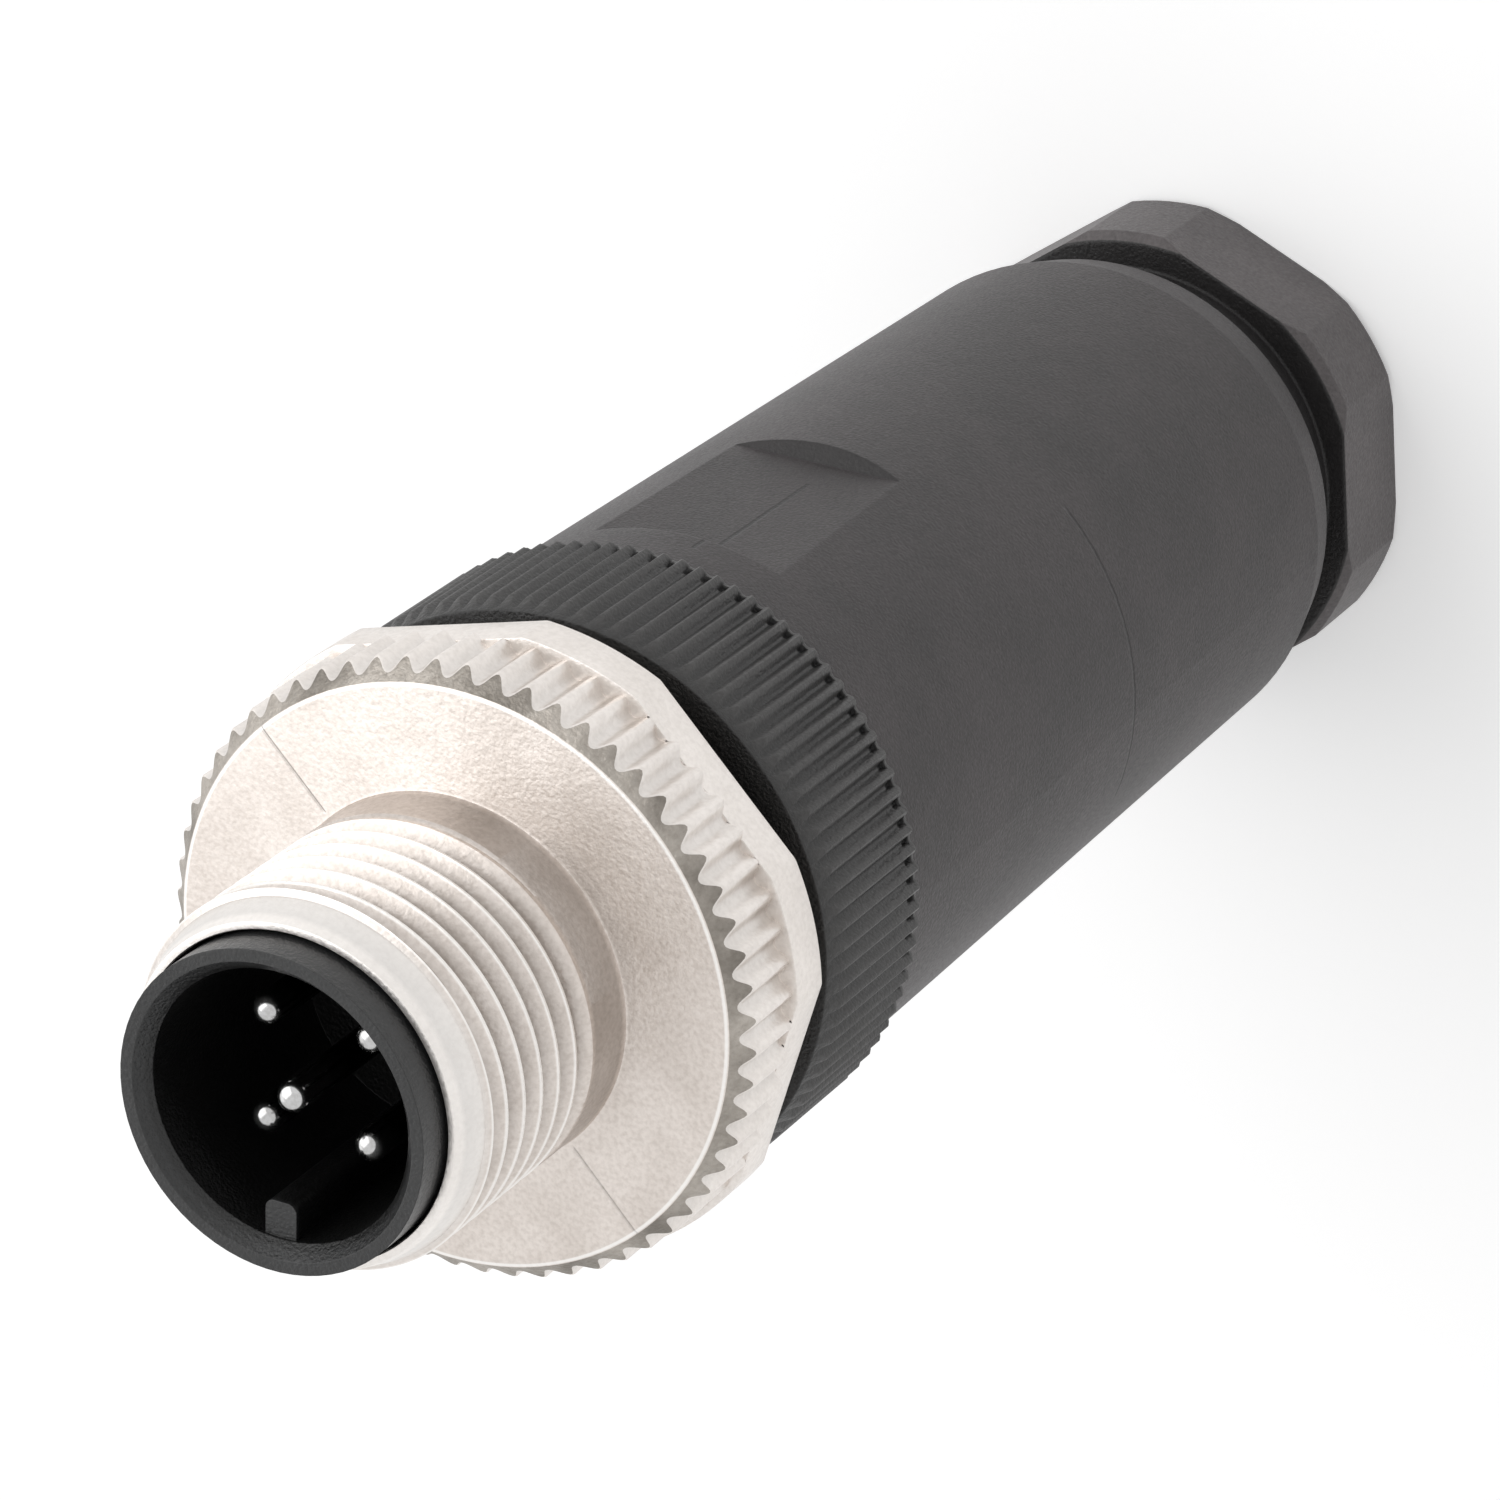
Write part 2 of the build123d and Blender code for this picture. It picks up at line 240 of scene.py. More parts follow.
def thread_rows(angles, low, high, major, minor, phase, crest, fade):
    """Rows of a right-hand thread between two heights, its depth fading out at both."""
    turns = angles / (2 * math.pi)
    flank = (PITCH - 3 * crest) / 2
    upward = 3 * crest + flank
    # Height above the start of a turn, and share of the depth
    shape = [(0, 0), (crest, 0), (crest + 0.35 * flank, 0.35), (crest + 0.7 * flank, 0.7)]
    shape += [(crest + flank, 1), (2 * crest + flank, 1), (upward, 1)]
    shape += [(upward + 0.3 * flank, 0.7), (upward + 0.65 * flank, 0.35)]
    first = math.floor((low - phase) / PITCH) - 1
    last = math.ceil((high - phase) / PITCH) + 1
    rows = []
    for turn in range(first, last):
        for offset, share in shape:
            height = np.clip(phase + (turn + turns) * PITCH + offset, low, high)
            grown = np.clip(np.minimum(height - low, high - height) / fade, 0, 1)
            rows.append(ring(angles, major - (major - minor) * share * grown, height))
    return rows


def fluted(angles):
    """Radius of the knurl at each angle: rounded flutes between narrower crests."""
    wave = np.cos((angles - math.radians(FLUTE_START)) * FLUTES)
    return KNURL_RADIUS - FLUTE_DEPTH + FLUTE_DEPTH * (0.5 - 0.5 * wave) ** FLUTE_SHARPNESS


def turned_hexagon(angles):
    """Radius of the hexagon with its turned corners at each angle."""
    off = (angles - math.radians(HEX_ANGLE)) % (math.pi / 3) - math.pi / 6
    return np.minimum(HEX_CORNER, HEX_FLATS / 2 / np.cos(off))


def ridged(angles):
    """Radius of the grip ring at each angle: narrow rounded ridges between wide valleys."""
    wave = np.cos((angles - math.radians(RIDGE_START)) * RIDGES)
    return RING_RADIUS - RIDGE_HEIGHT + RIDGE_HEIGHT * (0.5 + 0.5 * wave) ** RIDGE_SHARPNESS


def coupling_screw(metal, dark):
    """Threaded tube, flange with a fluted and bevelled rim, turned hexagon behind it."""
    a = circle(SCREW_COLUMNS)
    knurl = fluted(a)
    hexagon = turned_hexagon(a)
    meet = FLANGE_TOP - (knurl - FLANGE_RADIUS)
    rows = [ring(a, SHANK_BORE, SCREW_BOTTOM)]
    rows += softened(a, hexagon, SCREW_BOTTOM, HEX_LOWER_EDGE)
    rows += softened(a, hexagon, HEX_TOP, HEX_UPPER_EDGE)
    rows += [ring(a, knurl, HEX_TOP)]
    rows += softened(a, knurl, meet, KNURL_EDGE)
    bevel = len(rows) - 1
    rows += softened(a, FLANGE_RADIUS, FLANGE_TOP, FLANGE_EDGE)
    rows += softened(a, THREAD_RADIUS, FLANGE_TOP, NECK_FILLET)
    rows += thread_rows(a, THREAD_BOTTOM, THREAD_TOP, THREAD_RADIUS, THREAD_ROOT,
                        THREAD_PHASE, THREAD_CREST, THREAD_FADE)
    rows += softened(a, THREAD_RADIUS, THREAD_TOP, THREAD_EDGE)
    rows += softened(a, RIM_RADIUS, SCREW_TOP, RIM_EDGE)
    rows += softened(a, COLLAR_BORE, SCREW_TOP, BORE_EDGE)
    rows += [ring(a, COLLAR_BORE, SHOULDER), ring(a, SHANK_BORE, SHOULDER)]
    # The flange's bevel takes the second paint, whose darker tone is painted shade.
    piece("coupling_screw_turned", shell(rows, slots={bevel: 1}), (metal, dark),
          "coupling", "coupling_screw", sharp=35)


def contact_carrier(plastic):
    """Grip ring with rounded ridges, spigot, threaded boss and terminal block."""
    a = circle(CARRIER_COLUMNS)
    ridge = ridged(a)
    valley = RING_RADIUS - RIDGE_HEIGHT
    pit = ridge - PIT_DEPTH * np.clip((PIT_RADIUS - ridge) / PIT_SLOPE, 0, 1)
    cone = LIP_HEIGHT * (ridge - LIP_RADIUS) / (RING_RADIUS - LIP_RADIUS)
    rows = [ring(a, 0, CONTACT_SEAT), ring(a, SEAT_RADIUS, CONTACT_SEAT)]
    rows += softened(a, SEAT_RADIUS, CARRIER_TOP, SEAT_EDGE)
    rows += softened(a, SPIGOT_RADIUS, CARRIER_TOP, SPIGOT_EDGE)
    rows += softened(a, SPIGOT_RADIUS, RING_TOP, SPIGOT_FILLET)
    rows += softened(a, LIP_RADIUS, RING_TOP, LIP_EDGE)
    rows += softened(a, ridge, RING_TOP - LIP_DROP - cone, RIDGE_EDGE)
    rows += [
        ring(a, ridge, PIT_TOP + PIT_RAMP),
        ring(a, pit, PIT_TOP),
        ring(a, pit, PIT_BOTTOM),
        ring(a, np.maximum(ridge, valley + VALLEY_ROUNDING), PIT_BOTTOM - PIT_STEP),
    ]
    rows += [ring(a, np.clip(ridge, valley + rise, RING_RADIUS - fall), RING_FOOT + up)
             for rise, fall, up in RIDGE_FOOT]
    rows += [ring(a, GROOVE_RADIUS, RING_FOOT), ring(a, GROOVE_RADIUS, GROOVE_BOTTOM)]
    rows += thread_rows(a, BOSS_THREAD_BOTTOM, GROOVE_BOTTOM, BOSS_RADIUS, BOSS_ROOT,
                        BOSS_BOTTOM, BOSS_CREST, BOSS_FADE)[::-1]
    rows += [ring(a, BOSS_RADIUS - BOSS_CHAMFER, BOSS_BOTTOM), ring(a, BLOCK_RADIUS, BOSS_BOTTOM)]
    rows += softened(a, BLOCK_RADIUS, CARRIER_BOTTOM, BLOCK_EDGE)
    rows += [ring(a, 0, CARRIER_BOTTOM)]
    piece("contact_carrier_moulded", shell(rows), (plastic,),
          "carrier", "contact_carrier", sharp=40)


def seal_ring(rubber):
    """O-ring of round section between the grip ring and the sleeve's front end."""
    a = circle(O_RING_COLUMNS)
    middle = (bottom("o_ring") + top("o_ring")) / 2
    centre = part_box("o_ring")[1].x / MM - O_RING_CORD_RADIUS
    rows = [ring(a, centre + O_RING_CORD_RADIUS * math.cos(turn),
                 middle + O_RING_CORD_RADIUS * math.sin(turn))
            for turn in circle(O_RING_ROWS)[:-1]]
    piece("seal_ring_round", shell(rows), (rubber,), "seal_ring", "o_ring")


def contact(number, barrel_place, pin_place, metal):
    """Round pin with a domed tip on a square barrel with a wire bore."""
    node = f"contact_pin_{number}"
    a = circle(PIN_COLUMNS)
    foot = CONTACT_SEAT - BARREL_LENGTH
    square = BARREL_WIDTH / 2 / np.maximum(abs(np.cos(a)), abs(np.sin(a)))
    barrel = [ring(a, 0, CONTACT_SEAT)]
    barrel += softened(a, square, CONTACT_SEAT, BARREL_UPPER_EDGE)
    barrel += softened(a, square, foot, BARREL_LOWER_EDGE)
    barrel += [
        ring(a, WIRE_BORE_RADIUS, foot),
        ring(a, WIRE_BORE_RADIUS, foot + WIRE_BORE_DEPTH),
        ring(a, 0, foot + WIRE_BORE_DEPTH),
    ]
    shoulder = top(node) - PIN_DOME
    pin = [ring(a, 0, CONTACT_SEAT), ring(a, PIN_RADIUS, CONTACT_SEAT)]
    pin += [ring(a, PIN_RADIUS * math.cos(turn), shoulder + PIN_DOME * math.sin(turn))
            for turn in np.linspace(0, math.pi / 2, DOME_STEPS)]
    mesh = bpy.data.meshes.new(f"contact_{number}")
    work = bmesh.new()
    work.from_mesh(shell(barrel, barrel_place))
    work.from_mesh(shell(pin, pin_place))
    work.to_mesh(mesh)
    work.free()
    piece(f"contact_{number}", mesh, (metal,), "carrier", node, sharp=40)


# Materials
WHITE = (1.0, 1.0, 1.0)
# Colour that the painted highlights mix towards
PALE = (0.97, 0.96, 0.94)
# Colour of the painted shade and of the seams' grooves
DEEP_BLACK = (0.005, 0.005, 0.005)
SEAM_DEPTH = 0.03
PLANE_SEAM_FADE = 0.1
ROUND_SEAM_FADE = 0.3
BEVEL_SAMPLES = 6
# Sockets of a Mix node for colours
MIX_FACTOR, MIX_A, MIX_B, MIX_RESULT = 0, 6, 7, 2


class Paint:
    """A node material that is built up call by call."""

    def __init__(self, name, rough, metal=0.0):
        self.mat = bpy.data.materials.new(name)
        self.mat.use_nodes = True
        self.tree = self.mat.node_tree
        self.bsdf = self.tree.nodes["Principled BSDF"]
        self.bsdf.inputs["Metallic"].default_value = metal
        self.bsdf.inputs["Roughness"].default_value = rough
        self.place = self.node("ShaderNodeTexCoord").outputs["Object"]

    def node(self, kind, **values):
        made = self.tree.nodes.new(kind)
        for key, value in values.items():
            setattr(made, key, value)
        return made

    def link(self, out, into):
        self.tree.links.new(out, into)

    def noise(self, scale, detail=2.0, rough=0.5):
        """Noise with scale cells to the millimetre."""
        mapping = self.node("ShaderNodeMapping")
        mapping.inputs["Scale"].default_value = [scale / MM] * 3
        self.link(self.place, mapping.inputs["Vector"])
        made = self.node("ShaderNodeTexNoise")
        made.inputs["Scale"].default_value = 1.0
        made.inputs["Detail"].default_value = detail
        made.inputs["Roughness"].default_value = rough
        self.link(mapping.outputs["Vector"], made.inputs["Vector"])
        return made.outputs["Fac"]

    def math(self, operation, *values):
        """One Math node, each value a socket or a number."""
        made = self.node("ShaderNodeMath", operation=operation)
        for value, socket in zip(values, made.inputs):
            if isinstance(value, (int, float)):
                socket.default_value = value
            else:
                self.link(value, socket)
        return made.outputs["Value"]

    def times(self, value, *others):
        for other in others:
            value = self.math("MULTIPLY", value, other)
        return value

    def plus(self, value, *others):
        for other in others:
            value = self.math("ADD", value, other)
        return value

    def least(self, value, other):
        return self.math("MINIMUM", value, other)

    def most(self, value, *others):
        for other in others:
            value = self.math("MAXIMUM", value, other)
        return value

    def inverse(self, value):
        """1 where a share is 0, and 0 where it is 1."""
        return self.math("SUBTRACT", 1.0, value)

    def axis(self, name):
        """Object coordinate in millimetres."""
        split = self.node("ShaderNodeSeparateXYZ")
        self.link(self.place, split.inputs[0])
        return self.times(split.outputs[name], 1 / MM)

    def radius(self):
        """Distance from the axis in millimetres."""
        x, y = self.axis("X"), self.axis("Y")
        return self.math("SQRT", self.plus(self.times(x, x), self.times(y, y)))

    def rise(self, value, low, high):
        """0 at one value and 1 at another, and level beyond them."""
        made = self.node("ShaderNodeMapRange")
        made.inputs["From Min"].default_value = low
        made.inputs["From Max"].default_value = high
        self.link(value, made.inputs["Value"])
        return made.outputs["Result"]

    def within(self, value, low, high, soft):
        """1 between two values and 0 outside, over a soft edge."""
        return self.times(self.rise(value, low, low + soft), self.rise(value, high, high - soft))

    def seam(self, kind, angle, reach, low, high, width):
        """1 on a fine line and 0 beside it, on the side of the axis that the angle gives.

        A round seam runs round the axis halfway between two heights, a plane one lies in
        the angle's plane from one height to the other. Both begin at reach from the axis."""
        x, y, z = self.axis("X"), self.axis("Y"), self.axis("Z")
        cos, sin = math.cos(math.radians(angle)), math.sin(math.radians(angle))
        near = self.plus(self.times(x, cos), self.times(y, sin))
        if kind == "round":
            off = self.math("SUBTRACT", z, (low + high) / 2)
            ends = self.rise(near, reach, reach + ROUND_SEAM_FADE)
        else:
            off = self.math("SUBTRACT", self.times(x, sin), self.times(y, cos))
            ends = self.times(self.within(z, low, high, PLANE_SEAM_FADE),
                              self.rise(near, reach, reach + PLANE_SEAM_FADE))
        return self.times(self.rise(self.math("ABSOLUTE", off), width, width / 3), ends)

    def scratch(self, tone, line, layers, strength):
        """Darkens the tone along a line and adds its groove to the bumps."""
        layers.append((self.inverse(line), SEAM_DEPTH))
        return self.mix(self.times(line, strength), tone, DEEP_BLACK)

    def ramp(self, value, *stops):
        """Colour or grey over a value, each stop (position, grey or colour)."""
        made = self.node("ShaderNodeValToRGB")
        elements = made.color_ramp.elements
        while len(elements) < len(stops):
            elements.new(0.5)
        for element, (at, shade) in zip(elements, stops):
            element.position = at
            element.color = (*shade, 1) if isinstance(shade, tuple) else (shade, shade, shade, 1)
        self.link(value, made.inputs["Fac"])
        return made.outputs["Color"]

    def mix(self, share, a, b, kind="MIX"):
        """Mixes two colours, each a socket or a tuple."""
        made = self.node("ShaderNodeMix", data_type="RGBA", blend_type=kind)
        for value, number in ((share, MIX_FACTOR), (a, MIX_A), (b, MIX_B)):
            socket = made.inputs[number]
            if isinstance(value, (int, float)):
                socket.default_value = value
            elif isinstance(value, tuple):
                socket.default_value = (*value, 1)
            else:
                self.link(value, socket)
        return made.outputs[MIX_RESULT]

    def bump(self, layers, edge=None):
        """Stacks bumps, each a height and a depth in millimetres, over softened edges."""
        normal = None
        if edge:
            bevel = self.node("ShaderNodeBevel", samples=BEVEL_SAMPLES)
            bevel.inputs["Radius"].default_value = edge * MM
            normal = bevel.outputs["Normal"]
        for height, depth in layers:
            made = self.node("ShaderNodeBump")
            made.inputs["Strength"].default_value = 1.0
            made.inputs["Distance"].default_value = depth * MM
            self.link(height, made.inputs["Height"])
            if normal:
                self.link(normal, made.inputs["Normal"])
            normal = made.outputs["Normal"]
        self.link(normal, self.bsdf.inputs["Normal"])

    def colour(self, out):
        self.link(out, self.bsdf.inputs["Base Color"])

    def rough(self, out):
        self.link(out, self.bsdf.inputs["Roughness"])


# Ramp stops over noise, and what the grain adds to the roughness
GRAIN_STOPS = (0.3, 0.7)
PLASTIC_DRIFT = (0.38, 0.62)
PLASTIC_GRAIN = 0.03
PLASTIC_ROUGHNESS = (-0.06, 0.06)
FLECK_GAIN = 1.4
PLASTIC_FLECKS = ((0.66, 0.0), (0.76, 0.35))
PLASTIC_MOTTLE = ((0.34, (0.74, 0.73, 0.73)), (0.62, WHITE))
PLASTIC_SEAM = 0.55
METAL_CLOUDS = (0.35, 0.65)
METAL_ROUGHNESS = (-0.07, 0.08)
METAL_SPECKLE = ((0.3, (0.86, 0.85, 0.84)), (0.62, WHITE))
METAL_SEAM = 0.2


def moulded(name, dark, light, rough, edge=0.05, shade=None, seams=()):
    """Matt moulded plastic: spark-eroded grain, slow drift of tone, fine pale specks.

    shade gives where painted shade makes the tone dark (0) or leaves it plain (1)."""
    p = Paint(name, rough)
    grains = p.noise(9)
    tone = p.ramp(p.noise(0.25, detail=4, rough=0.65), *zip(PLASTIC_DRIFT, (dark, light)))
    pale = tuple(min(1.0, FLECK_GAIN * c) for c in light)
    tone = p.mix(p.ramp(p.noise(5), *PLASTIC_FLECKS), tone, pale)
    tone = p.mix(1.0, tone, p.ramp(p.noise(6, detail=3), *PLASTIC_MOTTLE), "MULTIPLY")
    if shade:
        tone = p.mix(shade(p), DEEP_BLACK, tone)
    layers = [(grains, PLASTIC_GRAIN), (p.noise(1.2), PLASTIC_GRAIN / 2)]
    for seam in seams:
        tone = p.scratch(tone, p.seam(*seam), layers, PLASTIC_SEAM)
    p.colour(tone)
    p.rough(p.ramp(grains, *zip(GRAIN_STOPS, (rough + more for more in PLASTIC_ROUGHNESS))))
    p.bump(layers, edge)
    return p


def plated(name, dark, light, rough, grain=0.012, seams=(), shade=None, glint=None):
    """Turned and plated metal: fine sandy grain, cloudy tone.

    shade gives where painted shade makes the tone dark (0) or leaves it plain (1), glint where a
    painted highlight makes it pale (1)."""
    p = Paint(name, rough, metal=1.0)
    grains = p.noise(8, detail=3)
    tone = p.ramp(p.noise(0.5, detail=4), *zip(METAL_CLOUDS, (dark, light)))
    tone = p.mix(1.0, tone, p.ramp(p.noise(6), *METAL_SPECKLE), "MULTIPLY")
    layers = [(grains, grain), (p.noise(3), grain)]
    for seam in seams:
        tone = p.scratch(tone, p.seam(*seam), layers, METAL_SEAM)
    if shade:
        tone = p.mix(shade(p), DEEP_BLACK, tone)
    if glint:
        tone = p.mix(glint(p), tone, PALE)
    p.colour(tone)
    p.rough(p.ramp(grains, *zip(GRAIN_STOPS, (rough + more for more in METAL_ROUGHNESS))))
    p.bump(layers)
    return p


# Seams: kind, angle, least reach from the axis, two heights, half width
FLANGE_SEAMS = (
    ("plane", 135, 6.2, FLANGE_TOP - 0.25, FLANGE_TOP + 0.35, 0.06),
    ("plane", -46, 6.2, FLANGE_TOP - 0.25, FLANGE_TOP + 0.35, 0.06),
)
SLEEVE_SEAMS = (
    ("plane", 86, 5, SLEEVE_TOP - 9.6, SLEEVE_TOP - 1.6, 0.1),
    ("round", 14, 7.6, SLEEVE_TOP - 16.9, SLEEVE_TOP - 16.8, 0.1),
)

# Where painted shade and painted highlights change the tone: a pair gives the height or
# radius where a tone begins to set in and where it is full, three numbers give an area's two
# ends and the width of its soft edges
NUT_HEAD = 4.4
GAP_HEIGHTS = (NUT_HEAD - 0.04, SLEEVE_BOTTOM + 0.04, 0.03)
GAP_DARK = 0.85
FLAT_DISTANCE = 8.8
FLAT_FOOT = SLEEVE_TOP - 11.3
FLAT_FOOT_TONE = 0.45
FLAT_FOOT_WIDTHS = (0.03, 0.06)
FLAT_DISTANCES = (FLAT_DISTANCE + 0.02, FLAT_DISTANCE)
KEY_HEIGHTS = (INSERT_TOP - 0.8, INSERT_TOP - 0.65)
KEY_RADII = (4.29, 4.25)
COLLAR_RADII = (4.42, 4.5)
RIDGE_RADII = (9.5, 10.0)
RIDGE_TONES = ((0.16, 0.0), (0.3, 0.35), (0.6, 0.8), (0.9, 1.0))
TIP_HEIGHTS = (PIN_TOP - 1.3, PIN_TOP - 0.2)
TIP_TONES = ((0.0, 0.08), (1.0, 1.0))
ROOT_HEIGHTS = (SCREW_TOP - 7.05, SCREW_TOP - 0.25, 0.2)
ROOT_RADII = (5.95, 5.45)
ROOT_DARK = 0.42
FLUTE_HEIGHTS = (HEX_TOP + 0.03, HEX_TOP + 0.08)
FLUTE_RADII = (9.98, 9.72)
FLUTE_INNER_RADII = (9.6, 9.65)
FLUTE_DARK = 0.18
NECK_HEIGHTS = (FLANGE_TOP + 0.05, SCREW_TOP - 7.05, 0.2)
NECK_RADII = (6.3, 6.1)
NECK_DARK = 0.28
CREST_HEIGHTS = (SCREW_TOP - 6.85, SCREW_TOP - 0.25, 0.4)
CREST_RADII = (5.93, 5.97)
CREST_GLINT = 0.6
RIM_HEIGHTS = (THREAD_TOP, THREAD_TOP + 0.2)
RIM_GLINT = 0.5
BORDER_HEIGHTS = (FLANGE_TOP - 0.15, FLANGE_TOP - 0.05)
BORDER_RADII = (9.3, 9.44, 0.04)
BORDER_GLINT = 0.7
KNURL_RADII = (9.5, 9.55)
KNURL_GLINT = 0.3


def gap_shade(p):
    """The gap between the gland nut's head and the sleeve lies in its own shadow."""
    return p.inverse(p.times(p.within(p.axis("Z"), *GAP_HEIGHTS), GAP_DARK))


def sleeve_shade(p):
    """Painted shade on the steep foot of each wrench flat, which catches little light, added to
    the gap's.
    """
    y = p.math("ABSOLUTE", p.axis("Y"))
    off = p.math("SUBTRACT", p.plus(y, p.axis("Z")), FLAT_DISTANCE + FLAT_FOOT)
    beyond = p.rise(p.math("ABSOLUTE", off), *FLAT_FOOT_WIDTHS)
    beyond = p.most(beyond, p.rise(y, *FLAT_DISTANCES))
    return p.least(gap_shade(p), p.most(beyond, FLAT_FOOT_TONE))


def insert_shade(p):
    """Painted shade: the cavity is darkened to near black; the rim and the front of the coding
    key are plain.
    """
    across = p.radius()
    key = p.times(p.rise(p.axis("Z"), *KEY_HEIGHTS), p.rise(across, *KEY_RADII))
    return p.most(p.rise(across, *COLLAR_RADII), key)


def ring_shade(p):
    """Painted shade: the valleys between the ridges are darker, the undercut in front of them
    black.
    """
    return p.ramp(p.rise(p.radius(), *RIDGE_RADII), *RIDGE_TONES)


def pin_shade(p):
    """Painted shade on the pin shafts, so that only the tips catch the light."""
    return p.ramp(p.rise(p.axis("Z"), *TIP_HEIGHTS), *TIP_TONES)


def metal_shade(p):
    """Painted shade: darker thread roots, flutes and neck."""
    across, height = p.radius(), p.axis("Z")
    roots = p.times(p.within(height, *ROOT_HEIGHTS), p.rise(across, *ROOT_RADII))
    flutes = p.times(p.rise(height, *FLUTE_HEIGHTS), p.rise(across, *FLUTE_RADII),
                     p.rise(across, *FLUTE_INNER_RADII))
    neck = p.times(p.within(height, *NECK_HEIGHTS), p.rise(across, *NECK_RADII))
    return p.inverse(p.plus(p.times(roots, ROOT_DARK), p.times(flutes, FLUTE_DARK),
                            p.times(neck, NECK_DARK)))


def metal_glint(p):
    """Painted highlights: brighter thread crests, front rim, border of the flange and knurl."""
    across, height = p.radius(), p.axis("Z")
    crests = p.times(p.within(height, *CREST_HEIGHTS), p.rise(across, *CREST_RADII))
    border = p.times(p.within(across, *BORDER_RADII), p.rise(height, *BORDER_HEIGHTS))
    return p.most(p.times(crests, CREST_GLINT),
                  p.times(p.rise(height, *RIM_HEIGHTS), RIM_GLINT),
                  p.times(border, BORDER_GLINT),
                  p.times(p.rise(across, *KNURL_RADII), KNURL_GLINT))


body_plastic = moulded("body_plastic", (0.029, 0.0245, 0.025), (0.043, 0.036, 0.037), 0.5,
                       edge=0.14, shade=sleeve_shade, seams=SLEEVE_SEAMS)
nut_plastic = moulded("nut_plastic", (0.094, 0.084, 0.085), (0.119, 0.106, 0.107), 0.47,
                      edge=0.2, shade=gap_shade)
carrier_plastic = moulded("carrier_plastic", (0.053, 0.051, 0.050), (0.066, 0.064, 0.0625), 0.42,
                          shade=ring_shade)
insert_plastic = moulded("insert_plastic", (0.021, 0.0215, 0.022), (0.028, 0.0285, 0.029), 0.36,
                         shade=insert_shade)
cage_plastic = moulded("cage_plastic", (0.035, 0.036, 0.038), (0.046, 0.047, 0.050), 0.5)
bush_rubber = moulded("bush_rubber", (0.020, 0.020, 0.021), (0.030, 0.030, 0.031), 0.7)
seal_rubber = moulded("seal_rubber", (0.018, 0.018, 0.018), (0.026, 0.026, 0.026), 0.6)
nickel = plated("nickel", (0.68, 0.62, 0.575), (0.76, 0.70, 0.655), 0.36,
                seams=FLANGE_SEAMS, shade=metal_shade, glint=metal_glint)
# Painted shade: the bevel's darker tone stands for the dark surroundings that its rough cone
# reflects.
bevel_nickel_painted_shade = plated("nickel_bevel_painted_shade", (0.23, 0.21, 0.185), (0.46, 0.425, 0.385), 0.5, grain=0.05)
silver = plated("silver", (0.52, 0.52, 0.52), (0.64, 0.64, 0.64), 0.17,
                grain=0.001, shade=pin_shade)
steel = plated("steel", (0.5, 0.5, 0.5), (0.62, 0.62, 0.6), 0.3, grain=0.003)

# The contacts, which aren't named here, are silver
NODE_PAINTS = {
    "sleeve": body_plastic,
    "gland_nut": nut_plastic,
    "contact_carrier": carrier_plastic,
    "contact_insert": insert_plastic,
    "clamp_cage": cage_plastic,
    "cable_seal": bush_rubber,
    "o_ring": seal_rubber,
    "coupling_screw": nickel,
    "terminal_screws": steel,
}
for node, made in frame["nodes"].items():
    made.data.materials.clear()
    made.data.materials.append(NODE_PAINTS.get(node, silver).mat)

coupling_screw(nickel, bevel_nickel_painted_shade)
contact_carrier(carrier_plastic)
seal_ring(seal_rubber)
places = [(spot(BARREL_CIRCLE, angle), spot(PIN_CIRCLE, angle)) for angle in PIN_ANGLES]
places.append(((0, 0), (0, 0)))
for number, (barrel_place, pin_place) in enumerate(places, start=1):
    contact(number, barrel_place, pin_place, silver)


# Studio
# Camera as measured from the photograph
CAMERA_PLACE = (87.6245, 86.9490, 203.9008)
CAMERA_RIGHT = (0.88193, 0.03234, -0.47026)
CAMERA_DOWN = (0.22023, -0.91033, 0.35043)
CAMERA_FORWARD = (-0.41676, -0.41262, -0.80997)
CAMERA_LENS = 156.504
CAMERA_SENSOR = 36
CAMERA_CLIP_METRES = (0.01, 5)

FLOOR_REACH_METRES = 3.0
FLOOR_DROP = 0.02
FLOOR_LIFT = 0.3
FLOOR_TONES = ((0.3, (0.93, 0.93, 0.93)), (0.7, (0.95, 0.95, 0.95)))
WORLD_LIGHT = 0.56
WORLD_SEEN = 1.0
LAMP_AIM = (0, 0, 30)


def camera():
    made = bpy.data.cameras.new("camera")
    made.lens = CAMERA_LENS
    made.sensor_width = CAMERA_SENSOR
    made.clip_start, made.clip_end = CAMERA_CLIP_METRES
    place = bpy.data.objects.new("camera", made)
    axes = (CAMERA_RIGHT, [-v for v in CAMERA_DOWN], [-v for v in CAMERA_FORWARD])
    turn = Matrix(axes).transposed().to_4x4()
    place.matrix_world = Matrix.Translation(Vector(CAMERA_PLACE) * MM) @ turn
    bpy.context.scene.collection.objects.link(place)
    bpy.context.scene.camera = place


def lamp(name, at, size, watts):
    """Square area lamp aimed at the middle of the plug."""
    made = bpy.data.lights.new(name, "AREA")
    made.shape = "SQUARE"
    made.size = size * MM
    made.energy = watts
    place = bpy.data.objects.new(name, made)
    facing = (Vector(LAMP_AIM) - Vector(at)).to_track_quat("-Z", "Y")
    place.matrix_world = Matrix.Translation(Vector(at) * MM) @ facing.to_matrix().to_4x4()
    bpy.context.scene.collection.objects.link(place)


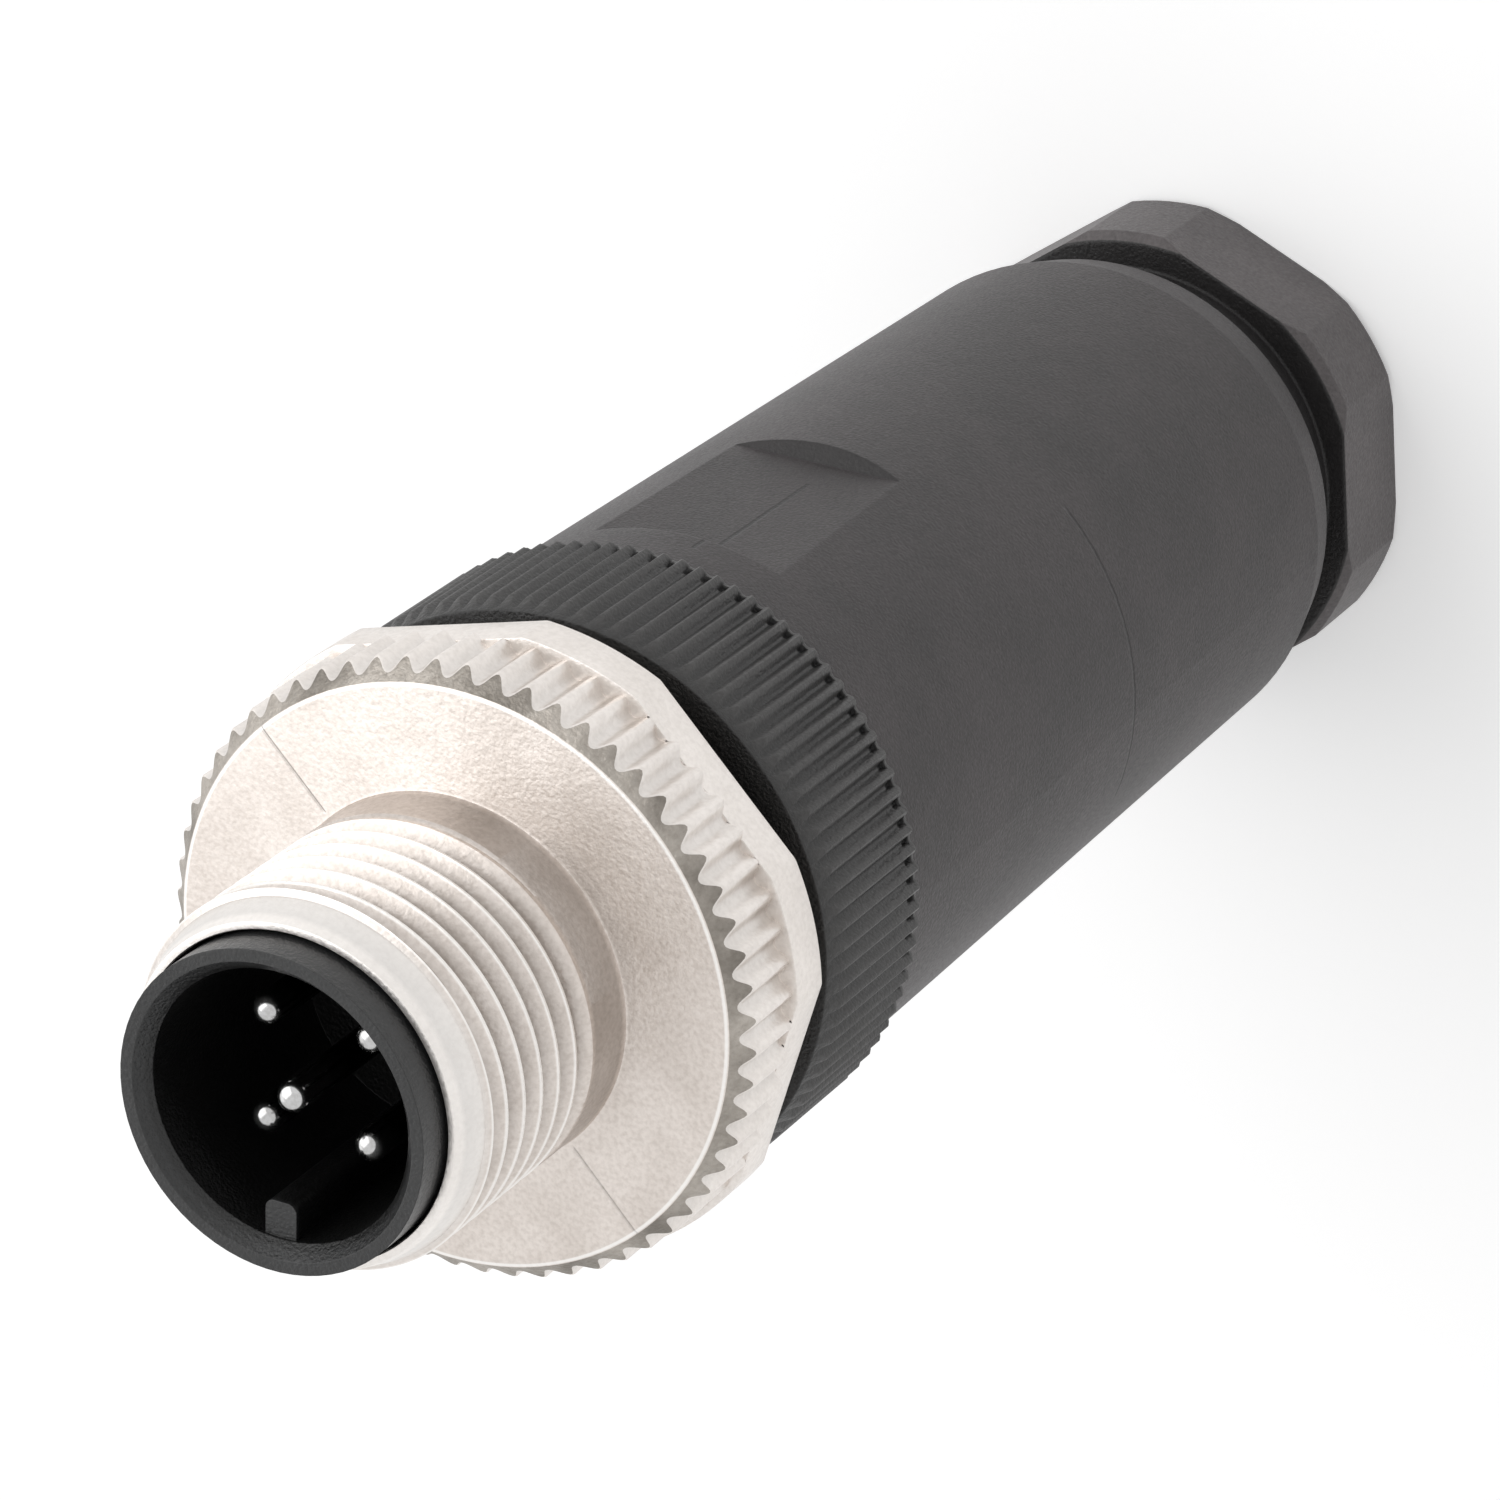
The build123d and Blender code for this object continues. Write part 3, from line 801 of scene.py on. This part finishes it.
def seen_directly(tree):
    """1 for rays from the camera, a reflection or glass, 0 for the light on the plug."""
    path = tree.nodes.new("ShaderNodeLightPath").outputs
    seen = path["Is Camera Ray"]
    for kind in ("Is Glossy Ray", "Is Transmission Ray"):
        most = tree.nodes.new("ShaderNodeMath")
        most.operation = "MAXIMUM"
        tree.links.new(seen, most.inputs[0])
        tree.links.new(path[kind], most.inputs[1])
        seen = most.outputs["Value"]
    return seen


def floor():
    """Plain pale floor, which isn't seen from below."""
    paint = Paint("floor_paint", 0.9)
    paint.colour(paint.ramp(paint.noise(0.02), *FLOOR_TONES))
    paint.bsdf.inputs["Emission Color"].default_value = (*WHITE, 1)
    lift = paint.times(seen_directly(paint.tree), FLOOR_LIFT)
    paint.link(lift, paint.bsdf.inputs["Emission Strength"])
    below = paint.node("ShaderNodeNewGeometry").outputs["Backfacing"]
    paint.link(paint.inverse(below), paint.bsdf.inputs["Alpha"])
    mesh = bpy.data.meshes.new("floor")
    corners = [(x * FLOOR_REACH_METRES, y * FLOOR_REACH_METRES, -FLOOR_DROP * MM)
               for x, y in ((-1, -1), (1, -1), (1, 1), (-1, 1))]
    mesh.from_pydata(corners, [], [(0, 1, 2, 3)])
    mesh.materials.append(paint.mat)
    made = bpy.data.objects.new("floor", mesh)
    bpy.context.scene.collection.objects.link(made)


def world():
    """White surroundings, which give less light than they show."""
    made = bpy.data.worlds.new("studio")
    made.use_nodes = True
    tree = made.node_tree
    back = tree.nodes["Background"]
    back.inputs["Color"].default_value = (*WHITE, 1)
    level = tree.nodes.new("ShaderNodeMapRange")
    level.inputs["To Min"].default_value = WORLD_LIGHT
    level.inputs["To Max"].default_value = WORLD_SEEN
    tree.links.new(seen_directly(tree), level.inputs["Value"])
    tree.links.new(level.outputs["Result"], back.inputs["Strength"])
    bpy.context.scene.world = made


camera()
floor()
world()
lamp("key", at=(-650, 450, 850), size=1300, watts=6.2)
lamp("side", at=(-430, -150, 330), size=300, watts=0.12)
bpy.context.scene.view_settings.view_transform = "Standard"
